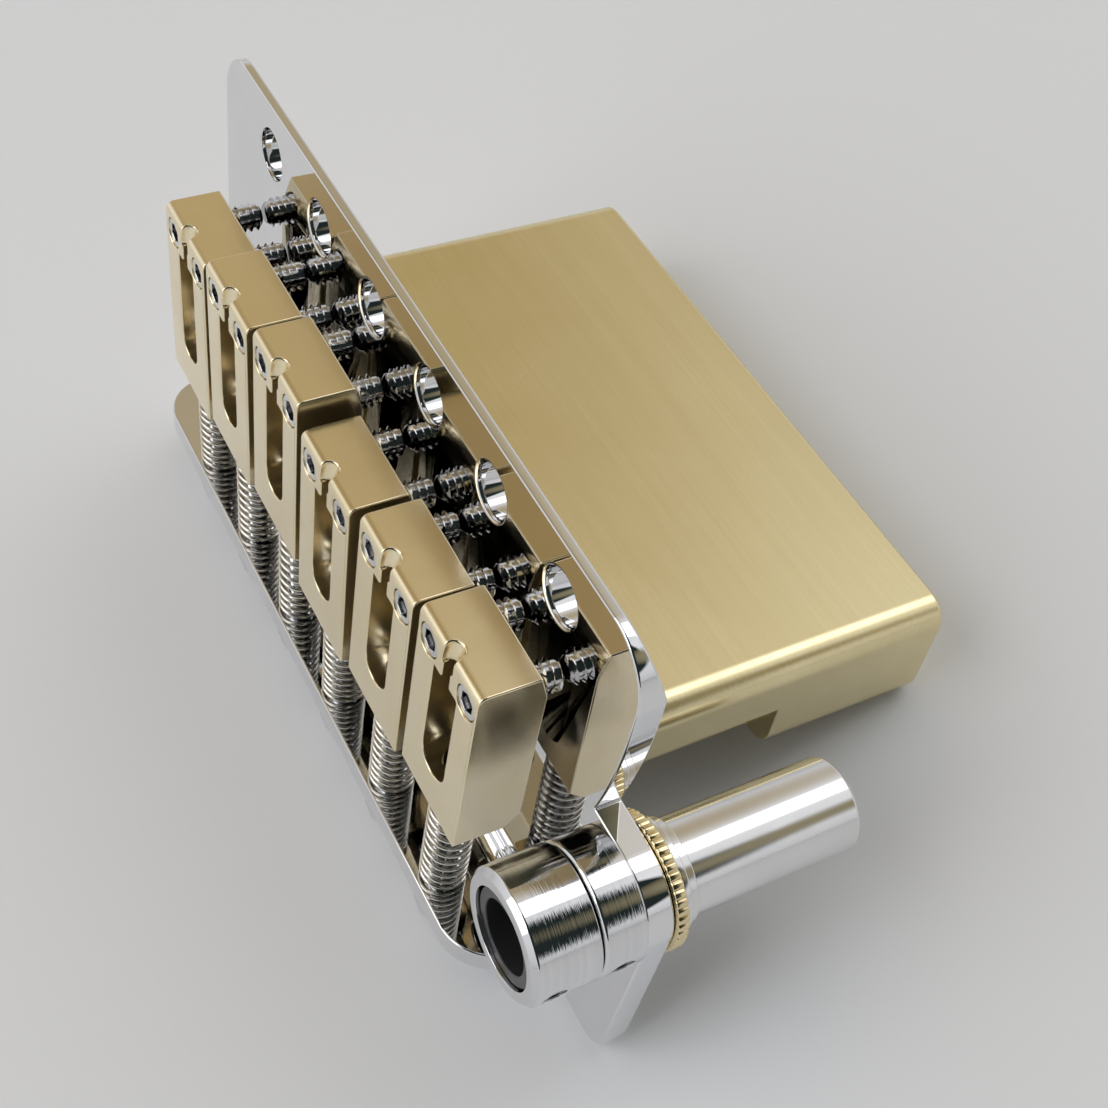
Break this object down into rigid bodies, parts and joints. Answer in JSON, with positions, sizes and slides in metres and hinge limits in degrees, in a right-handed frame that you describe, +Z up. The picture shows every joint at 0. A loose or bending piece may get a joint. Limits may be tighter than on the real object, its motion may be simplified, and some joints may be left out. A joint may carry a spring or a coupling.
{
  "type": "guitar tremolo bridge",
  "caption": "Guitar tremolo bridge: bent plate with pivot holes, spring-loaded adjustable string saddles, a solid block with string bores and a collared socket for the arm.",
  "frame": {"origin": "middle of the box round the part, on the surface it lies on", "axes": "+Y along the row of saddles towards the bass side, +Z up, +X from the saddles towards the block's side; it lies on the far edge of its block and the heads of its intonation screws"},
  "size_m": [0.0539, 0.0871, 0.0436],
  "materials": {
    "plate_chrome": "mirror polished plating",
    "block_brass": "fine long brushing, clear coated",
    "saddle_brass": "satin, polished edges",
    "screw_chrome": "bright plated",
    "spring_nickel": "bright drawn wire",
    "collar_chrome": "mirror polished plating",
    "nut_brass": "knurled, bright",
    "liner_nylon": "smooth nylon",
    "black_steel": "black oxide"
  },
  "bodies": {
    "bridge": {"base_plate": "plate_chrome", "tremolo_block": "block_brass", "block_screws": "screw_chrome", "socket_base_collar": "collar_chrome", "base_set_screw": "black_steel", "arm_liner": "liner_nylon", "arm_sleeve": "collar_chrome", "lock_nut": "nut_brass", "sleeve_washer": "collar_chrome"},
    "swivel_collar": {"socket_top_collar": "collar_chrome", "top_set_screw": "black_steel"},
    "spring_1": {"intonation_spring_1": "spring_nickel"},
    "tuner_1": {"intonation_screw_1": "screw_chrome"},
    "saddle_1": {"saddle_1": "saddle_brass"},
    "lifters_1": {"height_screws_1": "screw_chrome"},
    "spring_2": {"intonation_spring_2": "spring_nickel"},
    "tuner_2": {"intonation_screw_2": "screw_chrome"},
    "saddle_2": {"saddle_2": "saddle_brass"},
    "lifters_2": {"height_screws_2": "screw_chrome"},
    "spring_3": {"intonation_spring_3": "spring_nickel"},
    "tuner_3": {"intonation_screw_3": "screw_chrome"},
    "saddle_3": {"saddle_3": "saddle_brass"},
    "lifters_3": {"height_screws_3": "screw_chrome"},
    "spring_4": {"intonation_spring_4": "spring_nickel"},
    "tuner_4": {"intonation_screw_4": "screw_chrome"},
    "saddle_4": {"saddle_4": "saddle_brass"},
    "lifters_4": {"height_screws_4": "screw_chrome"},
    "spring_5": {"intonation_spring_5": "spring_nickel"},
    "tuner_5": {"intonation_screw_5": "screw_chrome"},
    "saddle_5": {"saddle_5": "saddle_brass"},
    "lifters_5": {"height_screws_5": "screw_chrome"},
    "spring_6": {"intonation_spring_6": "spring_nickel"},
    "tuner_6": {"intonation_screw_6": "screw_chrome"},
    "saddle_6": {"saddle_6": "saddle_brass"},
    "lifters_6": {"height_screws_6": "screw_chrome"}
  },
  "joints": [
    {"name": "collar_swivel", "type": "hinge", "parent": "bridge", "child": "swivel_collar", "pos_m": [-0.01856, -0.0381, 0.02235], "axis": [-0.9533, 0, 0.3019], "continuous": true},
    {"name": "saddle_tilt_1", "type": "hinge", "parent": "bridge", "child": "spring_1", "pos_m": [-0.02287, 0.031, 0.00493], "axis": [0, -1, 0], "range_deg": [-0.5, 2.5]},
    {"name": "screw_turn_1", "type": "hinge", "parent": "spring_1", "child": "tuner_1", "pos_m": [-0.02287, 0.031, 0.00493], "axis": [0.2902, 0, 0.957], "range_deg": [-2165, 2165]},
    {"name": "saddle_slide_1", "type": "slide", "parent": "spring_1", "child": "saddle_1", "axis": [0.2902, 0, 0.957], "range_m": [-0.003, 0.003], "deforming": ["intonation_spring_1"]},
    {"name": "lifter_slide_1", "type": "slide", "parent": "saddle_1", "child": "lifters_1", "axis": [0.957, 0, -0.2902], "range_m": [-0.0004, 0.0015]},
    {"name": "saddle_tilt_2", "type": "hinge", "parent": "bridge", "child": "spring_2", "pos_m": [-0.02287, 0.0202, 0.00493], "axis": [0, -1, 0], "range_deg": [-0.5, 2.5]},
    {"name": "screw_turn_2", "type": "hinge", "parent": "spring_2", "child": "tuner_2", "pos_m": [-0.02287, 0.0202, 0.00493], "axis": [0.2885, 0, 0.9575], "range_deg": [-2165, 2165]},
    {"name": "saddle_slide_2", "type": "slide", "parent": "spring_2", "child": "saddle_2", "axis": [0.2885, 0, 0.9575], "range_m": [-0.003, 0.003], "deforming": ["intonation_spring_2"]},
    {"name": "lifter_slide_2", "type": "slide", "parent": "saddle_2", "child": "lifters_2", "axis": [0.9575, 0, -0.2885], "range_m": [-0.0004, 0.0015]},
    {"name": "saddle_tilt_3", "type": "hinge", "parent": "bridge", "child": "spring_3", "pos_m": [-0.02287, 0.0094, 0.00493], "axis": [0, -1, 0], "range_deg": [-0.5, 2.5]},
    {"name": "screw_turn_3", "type": "hinge", "parent": "spring_3", "child": "tuner_3", "pos_m": [-0.02287, 0.0094, 0.00493], "axis": [0.2952, 0, 0.9554], "range_deg": [-2165, 2165]},
    {"name": "saddle_slide_3", "type": "slide", "parent": "spring_3", "child": "saddle_3", "axis": [0.2952, 0, 0.9554], "range_m": [-0.003, 0.003], "deforming": ["intonation_spring_3"]},
    {"name": "lifter_slide_3", "type": "slide", "parent": "saddle_3", "child": "lifters_3", "axis": [0.9554, 0, -0.2952], "range_m": [-0.0004, 0.0015]},
    {"name": "saddle_tilt_4", "type": "hinge", "parent": "bridge", "child": "spring_4", "pos_m": [-0.02287, -0.0014, 0.00493], "axis": [0, -1, 0], "range_deg": [-0.5, 2.5]},
    {"name": "screw_turn_4", "type": "hinge", "parent": "spring_4", "child": "tuner_4", "pos_m": [-0.02287, -0.0014, 0.00493], "axis": [0.2952, 0, 0.9554], "range_deg": [-2165, 2165]},
    {"name": "saddle_slide_4", "type": "slide", "parent": "spring_4", "child": "saddle_4", "axis": [0.2952, 0, 0.9554], "range_m": [-0.003, 0.003], "deforming": ["intonation_spring_4"]},
    {"name": "lifter_slide_4", "type": "slide", "parent": "saddle_4", "child": "lifters_4", "axis": [0.9554, 0, -0.2952], "range_m": [-0.0004, 0.0015]},
    {"name": "saddle_tilt_5", "type": "hinge", "parent": "bridge", "child": "spring_5", "pos_m": [-0.02287, -0.0122, 0.00493], "axis": [0, -1, 0], "range_deg": [-0.5, 2.5]},
    {"name": "screw_turn_5", "type": "hinge", "parent": "spring_5", "child": "tuner_5", "pos_m": [-0.02287, -0.0122, 0.00493], "axis": [0.3102, 0, 0.9507], "range_deg": [-2165, 2165]},
    {"name": "saddle_slide_5", "type": "slide", "parent": "spring_5", "child": "saddle_5", "axis": [0.3102, 0, 0.9507], "range_m": [-0.003, 0.003], "deforming": ["intonation_spring_5"]},
    {"name": "lifter_slide_5", "type": "slide", "parent": "saddle_5", "child": "lifters_5", "axis": [0.9507, 0, -0.3102], "range_m": [-0.0004, 0.0015]},
    {"name": "saddle_tilt_6", "type": "hinge", "parent": "bridge", "child": "spring_6", "pos_m": [-0.02287, -0.023, 0.00493], "axis": [0, -1, 0], "range_deg": [-0.5, 2.5]},
    {"name": "screw_turn_6", "type": "hinge", "parent": "spring_6", "child": "tuner_6", "pos_m": [-0.02287, -0.023, 0.00493], "axis": [0.3118, 0, 0.9501], "range_deg": [-2165, 2165]},
    {"name": "saddle_slide_6", "type": "slide", "parent": "spring_6", "child": "saddle_6", "axis": [0.3118, 0, 0.9501], "range_m": [-0.003, 0.003], "deforming": ["intonation_spring_6"]},
    {"name": "lifter_slide_6", "type": "slide", "parent": "saddle_6", "child": "lifters_6", "axis": [0.9501, 0, -0.3118], "range_m": [-0.0004, 0.0015]}
  ],
  "couplings": [
    {"joint": "screw_turn_1", "follows": "saddle_slide_1", "rad_per_m": -12566},
    {"joint": "lifter_slide_1", "follows": "saddle_tilt_1", "m_per_rad": 0.029},
    {"joint": "screw_turn_2", "follows": "saddle_slide_2", "rad_per_m": -12566},
    {"joint": "lifter_slide_2", "follows": "saddle_tilt_2", "m_per_rad": 0.0303},
    {"joint": "screw_turn_3", "follows": "saddle_slide_3", "rad_per_m": -12566},
    {"joint": "lifter_slide_3", "follows": "saddle_tilt_3", "m_per_rad": 0.0312},
    {"joint": "screw_turn_4", "follows": "saddle_slide_4", "rad_per_m": -12566},
    {"joint": "lifter_slide_4", "follows": "saddle_tilt_4", "m_per_rad": 0.0293},
    {"joint": "screw_turn_5", "follows": "saddle_slide_5", "rad_per_m": -12566},
    {"joint": "lifter_slide_5", "follows": "saddle_tilt_5", "m_per_rad": 0.0299},
    {"joint": "screw_turn_6", "follows": "saddle_slide_6", "rad_per_m": -12566},
    {"joint": "lifter_slide_6", "follows": "saddle_tilt_6", "m_per_rad": 0.0312}
  ]
}
